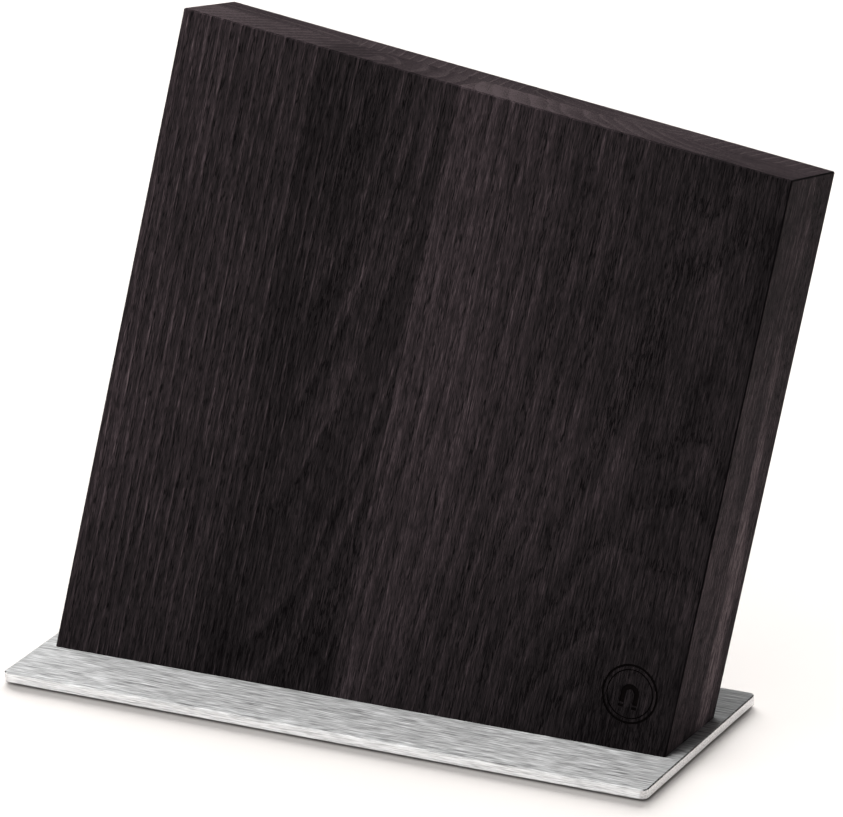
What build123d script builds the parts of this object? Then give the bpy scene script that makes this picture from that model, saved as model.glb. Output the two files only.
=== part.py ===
from build123d import *
import math
import os

os.makedirs("parts", exist_ok=True)

# Frame: millimetres, +Z up, origin at the middle of the anti-slip pad's underside.
# The front of the block faces -Y, and it leans back towards +Y and sideways towards +X.

# --- base plate and pad ---------------------------------------------------------------
plate_width = 264.0
plate_depth = 102.0
plate_thickness = 4.0
plate_corner_radius = 2.5
plate_edge_ease = 0.4

pad_thickness = 0.8
pad_inset = 4.0
pad_hole_diameter = 12.0

# --- the leaning block ----------------------------------------------------------------
block_width = 250.0          # across, at right angles to the leaning side edges
block_edge_length = 250.0    # along the left side edge
front_board_thickness = 24.0
back_board_thickness = 18.0
back_tilt_deg = 12.0
side_lean_deg = 7.2
block_edge_ease = 0.5
front_setback = 31.0         # plate's front edge to the block's front bottom edge

# Edge-glued staves, measured across the block from its left side edge.
front_joints = [0.0, 74.5, 114.5, 214.5, block_width]
back_joints = [0.0, 58.0, 132.0, 194.0, block_width]

# --- magnet tracks, one pair in each board --------------------------------------------
track_heights = [100.0, 190.0]   # along the left side edge
magnets_per_track = 5
magnet_length = 40.0
magnet_height = 20.0
magnet_thickness = 5.0
magnet_gap = 4.0
yoke_thickness = 2.0
wood_skin = 2.5
slot_corner_radius = 3.0

# --- screws and inserts ---------------------------------------------------------------
screw_spacing = 170.0
screw_shank_radius = 2.5
screw_head_radius = 5.0
screw_reach = 10.0           # above the plate
screw_recess = 0.2
screw_hole_radius = 2.75
hex_socket_across_flats = 3.0
hex_socket_depth = 1.6
insert_length = 12.0
insert_core_radius = 3.5
insert_rib_radius = 4.0
insert_rib_height = 1.6
insert_rib_count = 3
insert_hole_depth = 13.0

# --- engraved mark --------------------------------------------------------------------
mark_across = 231.3
mark_along = 50.4
mark_outer_radius = 11.2
mark_line = 0.9
mark_inner_ring_radius = 9.3
mark_fine_line = 0.5
mark_depth = 0.4
horseshoe_radius = 3.7
horseshoe_line = 2.0
horseshoe_leg = 3.8
horseshoe_tip = 1.1
horseshoe_tip_gap = 0.6

# --- derived --------------------------------------------------------------------------
plate_bottom = pad_thickness
plate_top = plate_bottom + plate_thickness
block_thickness = front_board_thickness + back_board_thickness
track_length = magnets_per_track * magnet_length + (magnets_per_track - 1) * magnet_gap
slot_length = track_length + 2 * slot_corner_radius

tilt = math.radians(back_tilt_deg)
lean = math.radians(side_lean_deg)
up_slope = Vector(0, math.sin(tilt), math.cos(tilt))
along = up_slope * math.cos(lean) + Vector(1, 0, 0) * math.sin(lean)
across = Vector(1, 0, 0) * math.cos(lean) - up_slope * math.sin(lean)
foot_run = block_width / math.cos(lean)
foot_depth = block_thickness / math.cos(tilt)
front_foot_y = front_setback - plate_depth / 2
foot_corner = Vector(-foot_run / 2, front_foot_y, plate_top)

# Block space: X across, Y front to back, Z along the side edges, from the left front foot corner.
block_space = Plane(origin=foot_corner, x_dir=across, z_dir=along)


def name_node(shape, name):
    shape.label = name
    export_step(shape, f"parts/{name}.step")


def local_box(x_range, y_range, z_range):
    """A box given by its limits in block space."""
    corner = (x_range[0], y_range[0], z_range[0])
    size = (x_range[1] - x_range[0], y_range[1] - y_range[0], z_range[1] - z_range[0])
    return Pos(*corner) * Box(*size, align=(Align.MIN, Align.MIN, Align.MIN))


def track_solid(height, y_range):
    """A bar with rounded corners running across the block at one track height."""
    profile = RectangleRounded(slot_length, magnet_height, slot_corner_radius)
    middle = Plane(origin=(block_width / 2, y_range[0], height), x_dir=(1, 0, 0), z_dir=(0, 1, 0))
    return extrude(middle * profile, y_range[1] - y_range[0])


def above_plate():
    """Everything over the plate's top face, large enough to hold the leaning block."""
    reach = 4 * block_edge_length
    return Pos(0, 0, plate_top) * Box(reach, reach, reach, align=(Align.CENTER, Align.CENTER, Align.MIN))


# --- where the screws go --------------------------------------------------------------
# Each hole is centred in its board's thickness half way up the hole.
board_drift = insert_hole_depth / 2 * math.tan(tilt)
front_row_y = front_foot_y + front_board_thickness / 2 / math.cos(tilt) + board_drift
back_row_y = front_foot_y + foot_depth - back_board_thickness / 2 / math.cos(tilt) + board_drift
screw_places = [
    (x, y) for y in (front_row_y, back_row_y) for x in (-screw_spacing / 2, screw_spacing / 2)
]

# --- base plate -----------------------------------------------------------------------
plate = extrude(RectangleRounded(plate_width, plate_depth, plate_corner_radius), plate_thickness)
plate = chamfer(plate.faces().sort_by(Axis.Z)[-1].edges(), plate_edge_ease)
plate = chamfer(plate.faces().sort_by(Axis.Z)[0].edges(), plate_edge_ease)
plate = Pos(0, 0, plate_bottom) * plate
cone_height = screw_head_radius - screw_hole_radius
for x, y in screw_places:
    recess = Cylinder(screw_head_radius, screw_recess, align=(Align.CENTER, Align.CENTER, Align.MIN))
    sink = Cone(
        screw_head_radius,
        screw_hole_radius,
        cone_height,
        align=(Align.CENTER, Align.CENTER, Align.MIN),
    )
    shank_hole = Cylinder(
        screw_hole_radius,
        plate_thickness,
        align=(Align.CENTER, Align.CENTER, Align.MIN),
    )
    plate -= Pos(x, y, plate_bottom) * recess
    plate -= Pos(x, y, plate_bottom + screw_recess) * sink
    plate -= Pos(x, y, plate_bottom) * shank_hole
name_node(plate, "base_plate")

# --- anti-slip pad, punched so the screws stay reachable -------------------------------
pad = extrude(
    RectangleRounded(plate_width - 2 * pad_inset, plate_depth - 2 * pad_inset, plate_corner_radius),
    pad_thickness,
)
for x, y in screw_places:
    pad -= Pos(x, y, 0) * Cylinder(pad_hole_diameter / 2, 2 * plate_thickness)
name_node(pad, "anti_slip_pad")

# --- countersunk screws ---------------------------------------------------------------
head_height = screw_head_radius - screw_shank_radius
shank_length = plate_thickness - screw_recess - head_height + screw_reach
head = Cone(
    screw_head_radius,
    screw_shank_radius,
    head_height,
    align=(Align.CENTER, Align.CENTER, Align.MIN),
)
shank = Pos(0, 0, head_height) * Cylinder(
    screw_shank_radius,
    shank_length,
    align=(Align.CENTER, Align.CENTER, Align.MIN),
)
socket = extrude(RegularPolygon(hex_socket_across_flats / 2, 6, major_radius=False), hex_socket_depth)
screw = head + shank - socket
screws = [Pos(x, y, plate_bottom + screw_recess) * screw for x, y in screw_places]
name_node(Compound(children=screws), "base_screws")

# --- threaded inserts in the block's foot ---------------------------------------------
insert = Cylinder(insert_core_radius, insert_length, align=(Align.CENTER, Align.CENTER, Align.MIN))
rib_pitch = (insert_length - insert_rib_height) / (insert_rib_count - 1)
for step in range(insert_rib_count):
    rib = Cylinder(
        insert_rib_radius,
        insert_rib_height,
        align=(Align.CENTER, Align.CENTER, Align.MIN),
    )
    insert += Pos(0, 0, step * rib_pitch) * rib
insert -= Cylinder(screw_shank_radius, 2 * insert_length)
inserts = [Pos(x, y, plate_top) * insert for x, y in screw_places]
name_node(Compound(children=inserts), "threaded_inserts")

# --- magnet tracks: magnets under the skin, a steel yoke behind, a filler to the glue line --
slots = {}
boards = {
    "front": (0.0, front_board_thickness, 1),
    "back": (block_thickness, front_board_thickness, -1),
}
for side, (outer_y, glue_y, inward) in boards.items():
    magnet_y = outer_y + inward * wood_skin
    yoke_y = magnet_y + inward * magnet_thickness
    filler_y = yoke_y + inward * yoke_thickness
    slots[side] = []
    for level, height in zip(("lower", "upper"), track_heights):
        slots[side].append(track_solid(height, sorted((magnet_y, glue_y))))
        yoke = track_solid(height, sorted((yoke_y, filler_y)))
        name_node(block_space * yoke, f"{side}_{level}_yoke_strip")
        filler = track_solid(height, sorted((filler_y, glue_y)))
        name_node(block_space * filler, f"{side}_{level}_filler_strip")
        for index in range(magnets_per_track):
            start = (block_width - track_length) / 2 + index * (magnet_length + magnet_gap)
            magnet = local_box(
                (start, start + magnet_length),
                sorted((magnet_y, yoke_y)),
                (height - magnet_height / 2, height + magnet_height / 2),
            )
            name_node(block_space * magnet, f"{side}_{level}_magnet_{index + 1}")

# --- the block, eased along every edge except its foot, and cut flush with the plate ----
block = local_box((0, block_width), (0, block_thickness), (0, block_edge_length))
foot_face = block.faces().sort_by(Axis.Z)[0]
foot_edges = [edge.center() for edge in foot_face.edges()]
eased = [
    edge for edge in block.edges()
    if all((edge.center() - centre).length > block_edge_ease for centre in foot_edges)
]
block = chamfer(eased, block_edge_ease)
for side_slots in slots.values():
    for slot in side_slots:
        block -= slot
block = (block_space * block) & above_plate()
for x, y in screw_places:
    block -= Pos(x, y, plate_top) * Cylinder(
        insert_rib_radius,
        insert_hole_depth,
        align=(Align.CENTER, Align.CENTER, Align.MIN),
    )

# --- engraved mark: two rings round a horseshoe magnet ---------------------------------
mark_plane = Plane(origin=(mark_across, 0, mark_along), x_dir=(1, 0, 0), z_dir=(0, -1, 0))
outer_ring = Circle(mark_outer_radius) - Circle(mark_outer_radius - mark_line)
inner_ring = Circle(mark_inner_ring_radius) - Circle(mark_inner_ring_radius - mark_fine_line)
arch_centre = Pos(0, (horseshoe_leg - horseshoe_radius) / 2)
inner_radius = horseshoe_radius - horseshoe_line
arch = Circle(horseshoe_radius) - Circle(inner_radius)
lower_half = Rectangle(3 * horseshoe_radius, 3 * horseshoe_radius, align=(Align.CENTER, Align.MAX))
arch -= lower_half
leg_middle = horseshoe_radius - horseshoe_line / 2
leg = Rectangle(horseshoe_line, horseshoe_leg, align=(Align.CENTER, Align.MAX))
tip = Rectangle(horseshoe_line, horseshoe_tip, align=(Align.CENTER, Align.MAX))
tip_drop = horseshoe_leg + horseshoe_tip_gap
horseshoe = [arch]
for hand in (-1, 1):
    horseshoe.append(Pos(hand * leg_middle, 0) * leg)
    horseshoe.append(Pos(hand * leg_middle, -tip_drop) * tip)
grooves = [outer_ring, inner_ring] + [arch_centre * shape for shape in horseshoe]
for groove in grooves:
    block -= block_space * extrude(mark_plane * groove, -mark_depth)

# --- split the block into its boards and staves -----------------------------------------
layers = {
    "front": ((0.0, front_board_thickness), front_joints),
    "back": ((front_board_thickness, block_thickness), back_joints),
}
for side, (y_range, joints) in layers.items():
    for index in range(len(joints) - 1):
        x_range = (joints[index], joints[index + 1])
        cutter = block_space * local_box(x_range, y_range, (0, block_edge_length))
        name_node(block & cutter, f"{side}_stave_{index + 1}")
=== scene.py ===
import math

import bpy
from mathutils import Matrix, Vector


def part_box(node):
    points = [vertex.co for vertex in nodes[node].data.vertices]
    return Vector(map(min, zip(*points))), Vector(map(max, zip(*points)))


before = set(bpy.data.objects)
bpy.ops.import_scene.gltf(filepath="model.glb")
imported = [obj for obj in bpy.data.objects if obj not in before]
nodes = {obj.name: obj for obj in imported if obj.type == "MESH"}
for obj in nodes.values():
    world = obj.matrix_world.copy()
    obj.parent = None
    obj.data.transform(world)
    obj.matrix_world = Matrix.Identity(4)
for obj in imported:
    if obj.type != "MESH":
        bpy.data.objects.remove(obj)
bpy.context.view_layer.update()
MM_PER_METRE = 1000.0

# --- camera: no roll, looking down at the front and the right side -------------------------
CAMERA_PLACE = (1.06883, -2.20914, 1.01238)
CAMERA_AZIMUTH = math.radians(25.436)
CAMERA_ELEVATION = math.radians(20.106)
SENSOR_WIDTH = 36.0
LENS_OVER_SENSOR = 8.400949      # the focal length as a multiple of the sensor's width

# --- light and floor, with places and sizes in metres --------------------------------------
# the sky's brightness goes from the first level to the second as a direction's part along an axis
# goes from the third number to the fourth: horizon to overhead, front to behind, left to right
SKY_FADES = {"Z": (0.5, 1.9, 0.0, 1.0), "Y": (1.85, 0.1, -1.0, 0.9), "X": (1.6, 0.2, -1.0, 1.0)}
RIGHT_LIGHT_PLACE = Vector((1.4, -0.2, 0.9))
RIGHT_LIGHT_TARGET = Vector((0.0, 0.0, 0.12))
RIGHT_LIGHT_SIZE = 0.9
RIGHT_LIGHT_POWER = 0.5          # watts
FLOOR_LIGHT_WAY = Vector((0.5, -0.9, -0.4))
FLOOR_LIGHT_ANGLE = math.radians(56.0)
FLOOR_LIGHT_STRENGTH = 18.3      # watts per square metre
FLOOR_REACH = 6.0

# --- the block's leans, sizes in mm and own directions, the same as in the CAD source ------
BACK_TILT = math.radians(12.0)
SIDE_LEAN = math.radians(7.2)
FRONT_BOARD = 24.0
BLOCK_WIDTH = 250.0
BLOCK_EDGE = 250.0
FRONT_JOINTS = [0.0, 74.5, 114.5, 214.5, BLOCK_WIDTH]
BACK_JOINTS = [0.0, 58.0, 132.0, 194.0, BLOCK_WIDTH]
MARK_CENTRE = (231.3, 50.4)
MARK_REACH = 12.0                # a little outside the mark's outer ring

up_slope = Vector((0, math.sin(BACK_TILT), math.cos(BACK_TILT)))
through = Vector((0, math.cos(BACK_TILT), -math.sin(BACK_TILT)))
along = up_slope * math.cos(SIDE_LEAN) + Vector((1, 0, 0)) * math.sin(SIDE_LEAN)
across = Vector((1, 0, 0)) * math.cos(SIDE_LEAN) - up_slope * math.sin(SIDE_LEAN)
foot_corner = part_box("front_stave_1")[0].copy()


# --- shader building -----------------------------------------------------------------------
class Graph:
    """A material's node tree with short calls for the maths that patterns need."""

    def __init__(self, name):
        self.material = bpy.data.materials.new(name)
        self.material.use_nodes = True
        self.tree = self.material.node_tree
        self.tree.nodes.clear()
        self.output = self.tree.nodes.new("ShaderNodeOutputMaterial")

    def put(self, socket, value):
        """Link a socket to another node's output, or give it a value."""
        if isinstance(value, bpy.types.NodeSocket):
            self.tree.links.new(value, socket)
        elif isinstance(value, (Vector, tuple)) and socket.type == "RGBA":
            socket.default_value = (*value, 1.0) if len(value) == 3 else tuple(value)
        elif value is not None:
            socket.default_value = value

    def math(self, operation, a, b=None, c=None, clamp=False):
        node = self.tree.nodes.new("ShaderNodeMath")
        node.operation = operation
        node.use_clamp = clamp
        for index, value in enumerate((a, b, c)):
            self.put(node.inputs[index], value)
        return node.outputs[0]

    def add(self, a, b):
        return self.math("ADD", a, b)

    def sub(self, a, b):
        return self.math("SUBTRACT", a, b)

    def mul(self, a, b):
        return self.math("MULTIPLY", a, b)

    def total(self, *terms):
        result = terms[0]
        for term in terms[1:]:
            result = self.add(result, term)
        return result

    def dot(self, a, b):
        node = self.tree.nodes.new("ShaderNodeVectorMath")
        node.operation = "DOT_PRODUCT"
        self.put(node.inputs[0], a)
        self.put(node.inputs[1], b)
        return node.outputs["Value"]

    def vector(self, x, y, z):
        node = self.tree.nodes.new("ShaderNodeCombineXYZ")
        for index, value in enumerate((x, y, z)):
            self.put(node.inputs[index], value)
        return node.outputs[0]

    def noise(self, place, cell, detail=2.0, roughness=0.5, seed=0.0):
        """Noise from 0 to 1 whose features are about cell mm in each direction."""
        scaled = [
            self.math("MULTIPLY_ADD", p, 1.0 / c, seed + 3.7 * i)
            for i, (p, c) in enumerate(zip(place, cell))
        ]
        node = self.tree.nodes.new("ShaderNodeTexNoise")
        node.inputs["Scale"].default_value = 1.0
        node.inputs["Detail"].default_value = detail
        node.inputs["Roughness"].default_value = roughness
        self.put(node.inputs["Vector"], self.vector(*scaled))
        return node.outputs[0]

    def ease(self, value, low, high, to_low=0.0, to_high=1.0):
        """A smooth step from to_low at low to to_high at high."""
        node = self.tree.nodes.new("ShaderNodeMapRange")
        node.interpolation_type = "SMOOTHSTEP"
        names = ("Value", "From Min", "From Max", "To Min", "To Max")
        for name, setting in zip(names, (value, low, high, to_low, to_high)):
            self.put(node.inputs[name], setting)
        return node.outputs[0]

    def curve(self, value, points, low, high):
        """A smooth curve through (position, level) points, with positions from low to high."""
        levels = [level for _, level in points]
        base, span = min(levels), max(max(levels) - min(levels), 1e-6)
        node = self.tree.nodes.new("ShaderNodeFloatCurve")
        handles = node.mapping.curves[0].points
        for index, (position, level) in enumerate(points):
            x, y = (position - low) / (high - low), (level - base) / span
            if index == 0:
                handles[0].location = (x, y)
            elif index == len(points) - 1:
                handles[-1].location = (x, y)
            else:
                handles.new(x, y)
        node.mapping.update()
        fraction = self.math("MULTIPLY_ADD", value, 1.0 / (high - low), -low / (high - low), clamp=True)
        self.put(node.inputs["Value"], fraction)
        return self.math("MULTIPLY_ADD", node.outputs[0], span, base)

    def blend(self, factor, a, b):
        """The number a where factor is 0, and b where it is 1."""
        return self.add(a, self.mul(factor, self.sub(b, a)))

    def ramp(self, value, stops):
        """A colour read from (position, colour) stops."""
        node = self.tree.nodes.new("ShaderNodeValToRGB")
        points = node.color_ramp.elements
        while len(points) < len(stops):
            points.new(0.5)
        for point, (position, colour) in zip(points, stops):
            point.position = position
            point.color = (*colour, 1.0)
        self.put(node.inputs[0], value)
        return node.outputs[0]

    def mix(self, factor, a, b):
        """The colour a where factor is 0, and b where it is 1."""
        node = self.tree.nodes.new("ShaderNodeMix")
        node.data_type = "RGBA"
        self.put(node.inputs["Factor"], factor)
        self.put(node.inputs["A"], a)
        self.put(node.inputs["B"], b)
        return next(o for o in node.outputs if o.type == "RGBA")

    def bump(self, height, distance_mm):
        """The normal of a surface that is raised by distance_mm where height is 1."""
        node = self.tree.nodes.new("ShaderNodeBump")
        node.inputs["Distance"].default_value = distance_mm / MM_PER_METRE
        self.put(node.inputs["Height"], height)
        return node.outputs[0]

    def surface(self, **inputs):
        node = self.tree.nodes.new("ShaderNodeBsdfPrincipled")
        for name, value in inputs.items():
            self.put(node.inputs[name.replace("_", " ")], value)
        self.put(self.output.inputs["Surface"], node.outputs[0])
        return self.material

    def world_mm(self):
        """X, Y and Z in millimetres in the row frame."""
        place = self.tree.nodes.new("ShaderNodeTexCoord").outputs["Object"]
        return [self.mul(self.dot(place, axis), MM_PER_METRE) for axis in ((1, 0, 0), (0, 1, 0), (0, 0, 1))]

    def block_mm(self):
        """Millimetres across the block, through it from the front, and up its side edges."""
        place = self.tree.nodes.new("ShaderNodeTexCoord").outputs["Object"]
        return [
            self.math("MULTIPLY_ADD", self.dot(place, axis), MM_PER_METRE,
                      -MM_PER_METRE * foot_corner.dot(axis))
            for axis in (across, through, along)
        ]

    def facing(self, axis):
        """How far the surface faces along an axis of the row frame, from -1 to 1."""
        normal = self.tree.nodes.new("ShaderNodeTexCoord").outputs["Normal"]
        return self.dot(normal, axis)


def srgb(*levels):
    """Linear colour from 0-255 display levels."""
    return tuple(((v / 255 + 0.055) / 1.055) ** 2.4 if v > 10 else v / 255 / 12.92 for v in levels)


def paint(name, material):
    data = nodes[name].data
    data.materials.clear()
    data.materials.append(material)


# --- dark stained wood -----------------------------------------------------------------------
# the sizes of its features in mm: across the block, through it, and up its side edges
BEND_ACROSS = (26, 26, 120)
BEND_THROUGH = (30, 30, 140)
FINE_BEND = (7, 7, 26)
LINE_BREAK = (0.6, 0.6, 6.0)
FIBRE = (0.4, 0.4, 9.0)
STREAK = (1.2, 1.2, 44)
PORE = (0.36, 0.36, 3.8)
CLOUD = (17, 17, 46)

# the distance in mm, out from the pith, over which the rings' spacing changes
SPACING_CHANGE = (9, 9, 9)

# what each adds to the tone, which goes from 0 for the darkest wood to 1 for the lightest
FIBRE_TONE = 1.35
STREAK_TONE = 0.35
PORE_TONE = -0.34
FOOT_TONE = -0.08
# painted light: the right side face is painted lighter from its middle down, standing in for the light that
# falls on it
LOWER_SIDE_PAINTED_LIGHT = 0.17
# painted highlight along the front's top edge
TOP_EDGE_PAINTED_HIGHLIGHT = 0.15
# painted dark reflection along the eased edges of the right side face
RIGHT_EDGE_PAINTED_DARK_REFLECTION = -0.7
GLUE_TONE = -0.16
WOOD_COLOURS = [
    (0.0, srgb(8, 6, 7)), (0.3, srgb(26, 23, 24)), (0.55, srgb(42, 36, 38)),
    (0.8, srgb(64, 55, 58)), (1.0, srgb(96, 85, 87)),
]
BURNT_WOOD = srgb(8, 6, 6)


def growth_rings(g, place, seed, pith_u, depth, spacing, warp, ridge_from, wander):
    """The place within a ring, from 0 to 1, and the strength of the light line near its end."""
    u, v, w = place
    bend_u = g.sub(g.noise(place, BEND_ACROSS, 1.5, 0.5, seed), 0.5)
    bend_v = g.sub(g.noise(place, BEND_THROUGH, 1.5, 0.5, seed + 9.1), 0.5)
    fine = g.sub(g.noise(place, FINE_BEND, 2.0, 0.55, seed + 4.3), 0.5)
    ring_u = g.total(u, g.mul(bend_u, warp), g.mul(fine, 0.8 + warp * 0.12), -pith_u)
    ring_v = g.total(v, g.mul(bend_v, warp), g.mul(g.curve(w, depth, 0.0, BLOCK_EDGE), -1.0))
    distance = g.math("SQRT", g.add(g.mul(ring_u, ring_u), g.mul(ring_v, ring_v)))
    step = g.sub(g.noise((distance, 0.0, 0.0), SPACING_CHANGE, 1.0, 0.5, seed + 2.2), 0.5)
    phase = g.math("FRACT", g.add(g.mul(distance, 1.0 / spacing), g.mul(step, 2.2 * wander)))
    ridge = g.mul(g.ease(phase, ridge_from, 0.88), g.ease(phase, 0.91, 0.98, 1.0, 0.0))
    breaks = g.noise(place, LINE_BREAK, 2.0, 0.6, seed + 8.8)
    return phase, g.mul(ridge, g.ease(breaks, 0.4, 0.6, 0.6 - 0.5 * wander, 1.3))


def face_tones(g, tone, w, painted_side_light):
    """The tone with painted light on the faces: the end grain painted lighter, standing in for light from
    above, the right side face painted lighter, standing in for the light that falls on it, a painted
    highlight along the front's top edge and a painted dark reflection along the edges of the right side
    face."""
    # painted light: the end-grain faces, top and bottom, keep their ring arcs but are painted lighter,
    # standing in for light from above
    end_grain_painted_lighter = g.ease(g.math("ABSOLUTE", g.facing(along)), 0.8, 0.95)
    tone = g.blend(end_grain_painted_lighter, tone, g.math("MULTIPLY_ADD", g.sub(tone, 0.4), 1.1, 0.83))
    # painted light: the right side face is painted lighter, standing in for the light that falls on it
    side_painted_light_level = g.ease(w, 120.0, 245.0, painted_side_light + LOWER_SIDE_PAINTED_LIGHT, painted_side_light)
    side = g.add(g.mul(g.sub(tone, 0.3), 1.3), side_painted_light_level)
    tone = g.blend(g.ease(g.facing(across), 0.8, 0.95), tone, side)
    up, right, front = (
        g.ease(g.mul(g.facing(axis), sign), 0.3, 0.5)
        for axis, sign in ((along, 1.0), (across, 1.0), (through, -1.0))
    )
    # painted highlight: the eased edge between the front and the top is painted lighter
    tone = g.add(tone, g.mul(g.mul(up, front), TOP_EDGE_PAINTED_HIGHLIGHT))
    # painted dark reflection: the eased edges of the right side face are painted darker
    right_edge_dark_reflection = g.mul(right, g.math("MAXIMUM", up, g.mul(front, g.ease(w, 30.0, 220.0, 0.35, 1.0))))
    return g.add(tone, g.mul(right_edge_dark_reflection, RIGHT_EDGE_PAINTED_DARK_REFLECTION))


def glue_lines(g, u, v, limits):
    """The tone that thin dark lines add where a stave ends and where the two boards meet."""
    from_left, from_right = (g.math("ABSOLUTE", g.sub(u, limit)) for limit in limits)
    from_joint = g.math("MINIMUM", from_left, from_right)
    from_glue = g.math("MINIMUM", from_joint, g.math("ABSOLUTE", g.sub(v, FRONT_BOARD)))
    return g.ease(from_glue, 0.05, 0.3, GLUE_TONE, 0.0)


def inside_mark(g, place):
    """1 in the cuts of the engraved mark and 0 on the front face round them."""
    u, v, w = place
    right_of = g.sub(u, MARK_CENTRE[0])
    above = g.sub(w, MARK_CENTRE[1])
    from_mark = g.math("SQRT", g.add(g.mul(right_of, right_of), g.mul(above, above)))
    return g.mul(g.ease(v, 0.03, 0.3), g.ease(from_mark, MARK_REACH, MARK_REACH - 0.4))


def wood(name, limits, seed, pith_u, depth, spacing, warp, ring_tone, tone_curve,
         blotch=0.12, ridge_from=0.76, wander=0.5, painted_side_light=0.61, mark=False):
    """Ring-porous wood in block space. The rings lie spacing mm apart round a pith line at pith_u across the
    block, whose depth behind the front changes up the block, and they bend by about warp mm. The faces show
    straight lines where the depth is steady and flames where it changes, and the end grain shows arcs. A
    higher wander makes the rings less even and breaks up their light lines. The tone curve gives the level
    across the stave between its limits. The right side face is painted lighter, standing in for the light
    that falls on it, and the side light argument gives about its level at the top of that face."""
    g = Graph(name)
    place = g.block_mm()
    u, v, w = place
    phase, light_line = growth_rings(g, place, seed, pith_u, depth, spacing, warp, ridge_from, wander)
    fibre = g.noise(place, FIBRE, 3.0, 0.75, seed + 7.7)
    streak = g.noise(place, STREAK, 2.0, 0.6, seed + 1.9)
    pore_field = g.noise(place, PORE, 1.0, 0.5, seed + 5.5)
    pores = g.mul(g.ease(pore_field, 0.53, 0.62), g.ease(phase, 0.0, 0.5, 1.0, 0.45))
    cloud = g.noise(place, CLOUD, 2.5, 0.5, seed + 6.1)
    tone = g.total(
        g.curve(u, tone_curve, *limits),
        g.mul(light_line, ring_tone),
        g.mul(g.sub(fibre, 0.5), FIBRE_TONE),
        g.mul(g.sub(streak, 0.5), STREAK_TONE),
        g.mul(g.sub(cloud, 0.5), blotch * 2.0),
        g.mul(pores, PORE_TONE),
        g.ease(w, 110.0, 22.0, 0.0, FOOT_TONE),
    )
    tone = g.add(face_tones(g, tone, w, painted_side_light), glue_lines(g, u, v, limits))
    colour = g.ramp(tone, WOOD_COLOURS)
    rough = g.total(0.66, g.mul(pores, 0.15), g.mul(g.sub(fibre, 0.5), 0.2))
    if mark:
        burnt = inside_mark(g, place)
        colour = g.mix(burnt, colour, BURNT_WOOD)
        rough = g.add(rough, g.mul(burnt, 0.3))
    height = g.total(
        g.mul(light_line, 0.35),
        g.mul(pores, -0.9),
        g.mul(fibre, 0.5),
        g.mul(streak, 0.4),
    )
    return g.surface(
        Base_Color=colour,
        Roughness=rough,
        IOR=1.45,
        Specular_IOR_Level=0.02,
        Normal=g.bump(height, 0.25),
    )


# staves from left to right: depth pairs are the height up the block and the pith's depth there, and
# tone pairs are the place across the block and the level there
FRONT_STAVES = [
    dict(seed=11.0, pith_u=-420.0, depth=[(0, 160), (250, 163)], spacing=4.2, warp=0.6, ring_tone=0.19,
         ridge_from=0.6, wander=0.2,
         tone_curve=[(0, 0.51), (12, 0.48), (24, 0.43), (45, 0.4), (57, 0.36), (62, 0.27), (74.5, 0.33)]),
    dict(seed=23.0, pith_u=72.0, depth=[(0, 55), (107, 33), (150, 25), (250, 10)], spacing=8.0, warp=8.0,
         ring_tone=0.19, ridge_from=0.3, wander=1.0, blotch=0.15,
         tone_curve=[(74.5, 0.32), (90, 0.31), (104, 0.32), (114.5, 0.36)]),
    dict(seed=37.0, pith_u=217.0, depth=[(0, 20), (35, 28), (95, 43), (140, 49), (250, 52)],
         spacing=6.3, warp=6.0, ring_tone=0.12, ridge_from=0.4,
         tone_curve=[(114.5, 0.47), (120, 0.51), (140, 0.5), (152, 0.45), (165, 0.4), (190, 0.36),
                     (214.5, 0.31)]),
    # the last stave carries the block's right side face, painted a little lighter as painted light
    dict(seed=41.0, pith_u=233.0, depth=[(0, 30), (80, 44), (160, 62), (250, 80)], spacing=9.0, warp=14.0,
         ring_tone=0.09, ridge_from=0.2, wander=1.0, blotch=0.2, painted_side_light=0.67,
         tone_curve=[(214.5, 0.28), (228, 0.3), (240, 0.29), (250, 0.25)], mark=True),
]
BACK_STAVES = [
    dict(seed=53.0, pith_u=20.0, depth=[(0, -30), (250, -80)], spacing=6.0, warp=9.0, ring_tone=0.2,
         tone_curve=[(0, 0.34), (30, 0.36), (58, 0.38)]),
    dict(seed=67.0, pith_u=-300.0, depth=[(0, -40), (250, -45)], spacing=4.1, warp=2.0, ring_tone=0.24,
         tone_curve=[(58, 0.42), (95, 0.37), (132, 0.33)]),
    dict(seed=71.0, pith_u=165.0, depth=[(0, 90), (120, 70), (250, 62)], spacing=6.2, warp=9.0,
         ring_tone=0.22, tone_curve=[(132, 0.32), (160, 0.35), (194, 0.4)]),
    dict(seed=83.0, pith_u=500.0, depth=[(0, 20), (250, 14)], spacing=4.4, warp=2.5, ring_tone=0.24,
         tone_curve=[(194, 0.4), (220, 0.36), (250, 0.33)]),
]
for side, staves, joints in (("front", FRONT_STAVES, FRONT_JOINTS), ("back", BACK_STAVES, BACK_JOINTS)):
    for index, look in enumerate(staves):
        limits = (joints[index], joints[index + 1])
        paint(f"{side}_stave_{index + 1}", wood(f"smoked_wood_{side}_{index + 1}", limits=limits, **look))


# --- metals, rubber and the hidden pieces ----------------------------------------------------
BRIGHTEST_BASE = 0.95            # a metal's base colour stays below 1


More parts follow.
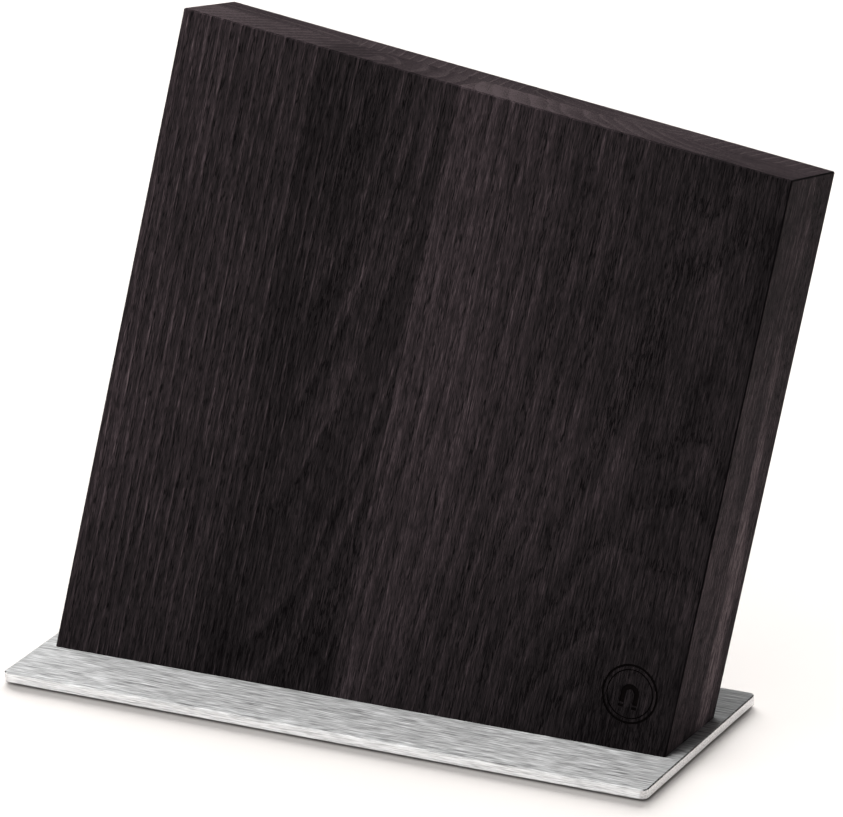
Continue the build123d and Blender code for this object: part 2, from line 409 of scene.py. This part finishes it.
def brushed_steel(name, tint, rough, contrast=1.0, lines=(46.0, 0.55), seed=0.0):
    """Steel with scratches along X, of a length and width in mm, with painted light: the cut edges are
    painted brighter as a painted highlight, and the eased arrises along the left and right edges are painted
    darker as a painted dark reflection.
    """
    g = Graph(name)
    place = g.world_mm()
    length, width = lines
    fine = g.noise(place, (length * 0.22, width, width), 2.0, 0.7, seed)
    broad = g.noise(place, (length, width * 2.0, width * 2.0), 2.0, 0.6, seed + 3.1)
    haze = g.noise(place, (60, 35, 35), 1.5, 0.5, seed + 6.4)
    upward = g.math("ABSOLUTE", g.facing((0, 0, 1)))
    # painted highlight: the cut edge faces are painted brighter, standing in for the light that falls on
    # them
    cut_edge_painted_highlight = g.ease(upward, 0.1, 0.4, 1.0, 0.0)
    # painted dark reflection: the eased arrises between the top or bottom and the left or right faces are
    # painted darker
    arris_painted_dark_reflection = g.mul(g.ease(g.math("ABSOLUTE", g.facing((1, 0, 0))), 0.3, 0.5), g.ease(upward, 0.3, 0.5))
    level = g.total(
        1.0,
        g.mul(g.sub(fine, 0.5), 3.0 * contrast),
        g.mul(g.sub(broad, 0.5), 0.9 * contrast),
        g.mul(g.sub(haze, 0.5), 0.15),
        g.mul(cut_edge_painted_highlight, 0.7),
        g.mul(arris_painted_dark_reflection, -0.75),
    )
    level = g.math("MINIMUM", level, BRIGHTEST_BASE / max(tint))
    colour = g.tree.nodes.new("ShaderNodeVectorMath")
    colour.operation = "SCALE"
    g.put(colour.inputs[0], tint)
    g.put(colour.inputs["Scale"], level)
    roughness = g.total(rough, g.mul(g.sub(fine, 0.5), 0.25), g.mul(g.sub(haze, 0.5), 0.06))
    return g.surface(
        Base_Color=colour.outputs[0],
        Metallic=1.0,
        Roughness=roughness,
        Anisotropic=0.9,
        Tangent=g.vector(0.0, 1.0, 0.0),
        Normal=g.bump(g.add(fine, broad), 0.02),
    )


def plated(name, tint, rough, grain, seed):
    """Turned, plated or milled metal for the small and hidden pieces."""
    g = Graph(name)
    place = g.world_mm()
    speck = g.noise(place, (grain, grain, grain), 3.0, 0.6, seed)
    stain = g.noise(place, (9, 9, 9), 2.0, 0.5, seed + 2.0)
    shade = g.mix(g.total(g.mul(stain, 0.5), g.mul(speck, 0.3)), tint, tuple(0.6 * t for t in tint))
    return g.surface(
        Base_Color=shade,
        Metallic=1.0,
        Roughness=g.total(rough, g.mul(g.sub(speck, 0.5), 0.3)),
        Normal=g.bump(speck, 0.015),
    )


def rubber(name):
    g = Graph(name)
    place = g.world_mm()
    grain = g.noise(place, (0.7, 0.7, 0.7), 3.0, 0.65)
    dust = g.noise(place, (14, 14, 14), 3.0, 0.6, 5.0)
    colour = g.mix(g.ease(dust, 0.4, 0.75), (0.012, 0.012, 0.012), (0.035, 0.034, 0.032))
    return g.surface(
        Base_Color=colour,
        Roughness=g.total(0.72, g.mul(g.sub(grain, 0.5), 0.3)),
        Specular_IOR_Level=0.3,
        Normal=g.bump(grain, 0.12),
    )


def filler_wood(name):
    g = Graph(name)
    place = g.block_mm()
    rings = g.noise(place, (60, 3, 2.2), 2.0, 0.5, 12.0)
    pores = g.ease(g.noise(place, (5, 0.4, 0.4), 1.0, 0.5, 14.0), 0.6, 0.7)
    colour = g.mix(rings, (0.42, 0.27, 0.14), (0.27, 0.15, 0.07))
    return g.surface(
        Base_Color=g.mix(g.mul(pores, 0.6), colour, (0.1, 0.05, 0.03)),
        Roughness=g.total(0.55, g.mul(rings, 0.2)),
        Normal=g.bump(g.sub(rings, pores), 0.1),
    )


plate_look = brushed_steel("brushed_plate", (0.48, 0.48, 0.48), rough=0.5)
screw_look = plated("screw_steel", (0.5, 0.5, 0.51), rough=0.32, grain=0.35, seed=2.0)
brass_look = plated("insert_brass", (0.72, 0.52, 0.24), rough=0.3, grain=0.3, seed=7.0)
nickel_look = plated("magnet_nickel", (0.66, 0.64, 0.6), rough=0.2, grain=0.6, seed=11.0)
yoke_look = brushed_steel(
    "yoke_steel", (0.36, 0.36, 0.37), rough=0.45, contrast=0.6, lines=(30.0, 0.6), seed=4.0,
)
pad_look = rubber("rubber_pad")
filler_look = filler_wood("filler_wood")
paint("base_plate", plate_look)
paint("anti_slip_pad", pad_look)
paint("base_screws", screw_look)
paint("threaded_inserts", brass_look)
for name in nodes:
    if "magnet" in name:
        paint(name, nickel_look)
    elif "yoke" in name:
        paint(name, yoke_look)
    elif "filler" in name:
        paint(name, filler_look)


# --- floor, light and camera -------------------------------------------------------------------
def aimed(name, data, place, way):
    """A light or a camera at a place in the scene, looking along way."""
    thing = bpy.data.objects.new(name, data)
    thing.location = place
    thing.rotation_mode = "QUATERNION"
    thing.rotation_quaternion = way.to_track_quat("-Z", "Y")
    bpy.context.scene.collection.objects.link(thing)
    return thing


floor_mesh = bpy.data.meshes.new("floor")
floor_corners = [(x * FLOOR_REACH, y * FLOOR_REACH, 0) for x, y in ((-1, -1), (1, -1), (1, 1), (-1, 1))]
floor_mesh.from_pydata(floor_corners, [], [(0, 1, 2, 3)])
floor = bpy.data.objects.new("floor", floor_mesh)
bpy.context.scene.collection.objects.link(floor)
floor_graph = Graph("floor")
mottle = floor_graph.noise(floor_graph.world_mm(), (40, 40, 40), 2.0)
floor_graph.surface(
    Base_Color=floor_graph.mix(mottle, (0.37, 0.353, 0.342), (0.36, 0.343, 0.332)),
    Roughness=0.9,
    Specular_IOR_Level=0.0,
)
floor_mesh.materials.append(floor_graph.material)

world = bpy.data.worlds.new("studio")
world.use_nodes = True
sky = world.node_tree
toward = sky.nodes.new("ShaderNodeSeparateXYZ")
sky.links.new(sky.nodes.new("ShaderNodeTexCoord").outputs["Generated"], toward.inputs[0])


def sky_fade(axis, start, end, low, high):
    """Brightness that goes from start to end as the direction's part along an axis goes from low to high."""
    node = sky.nodes.new("ShaderNodeMapRange")
    for name, level in (("From Min", low), ("From Max", high), ("To Min", start), ("To Max", end)):
        node.inputs[name].default_value = level
    sky.links.new(toward.outputs[axis], node.inputs["Value"])
    return node.outputs[0]


def sky_product(a, b):
    node = sky.nodes.new("ShaderNodeMath")
    node.operation = "MULTIPLY"
    sky.links.new(a, node.inputs[0])
    sky.links.new(b, node.inputs[1])
    return node.outputs[0]


by_height, by_depth, by_side = (sky_fade(axis, *levels) for axis, levels in SKY_FADES.items())
sky_light = sky.nodes["Background"]
sky_light.inputs["Color"].default_value = (1.0, 1.0, 1.0, 1.0)
sky.links.new(sky_product(sky_product(by_height, by_depth), by_side), sky_light.inputs["Strength"])
bpy.context.scene.world = world

right_light = bpy.data.lights.new("right_soft", "AREA")
right_light.shape = "RECTANGLE"
right_light.size = RIGHT_LIGHT_SIZE
right_light.size_y = RIGHT_LIGHT_SIZE
right_light.energy = RIGHT_LIGHT_POWER
aimed("right_soft", right_light, RIGHT_LIGHT_PLACE, RIGHT_LIGHT_TARGET - RIGHT_LIGHT_PLACE)

# this light reaches only the floor, and only the plate and the pad shade it
floor_sun = bpy.data.lights.new("floor_light", "SUN")
floor_sun.energy = FLOOR_LIGHT_STRENGTH
floor_sun.angle = FLOOR_LIGHT_ANGLE
floor_light = aimed("floor_light", floor_sun, (0, 0, 0), FLOOR_LIGHT_WAY)
lit, shading = (bpy.data.collections.new(name) for name in ("lit_by_floor_light", "shading_floor_light"))
lit.objects.link(floor)
for name in ("base_plate", "anti_slip_pad"):
    shading.objects.link(nodes[name])
floor_light.light_linking.receiver_collection = lit
floor_light.light_linking.blocker_collection = shading

level_share = math.cos(CAMERA_ELEVATION)
view_line = Vector((
    -math.sin(CAMERA_AZIMUTH) * level_share,
    math.cos(CAMERA_AZIMUTH) * level_share,
    -math.sin(CAMERA_ELEVATION),
))
camera_data = bpy.data.cameras.new("camera")
camera_data.sensor_width = SENSOR_WIDTH
camera_data.lens = LENS_OVER_SENSOR * SENSOR_WIDTH
camera_data.clip_start = 0.1
camera_data.clip_end = 50.0
bpy.context.scene.camera = aimed("camera", camera_data, CAMERA_PLACE, view_line)
bpy.context.scene.view_settings.view_transform = "Standard"

bpy.context.view_layer.update()
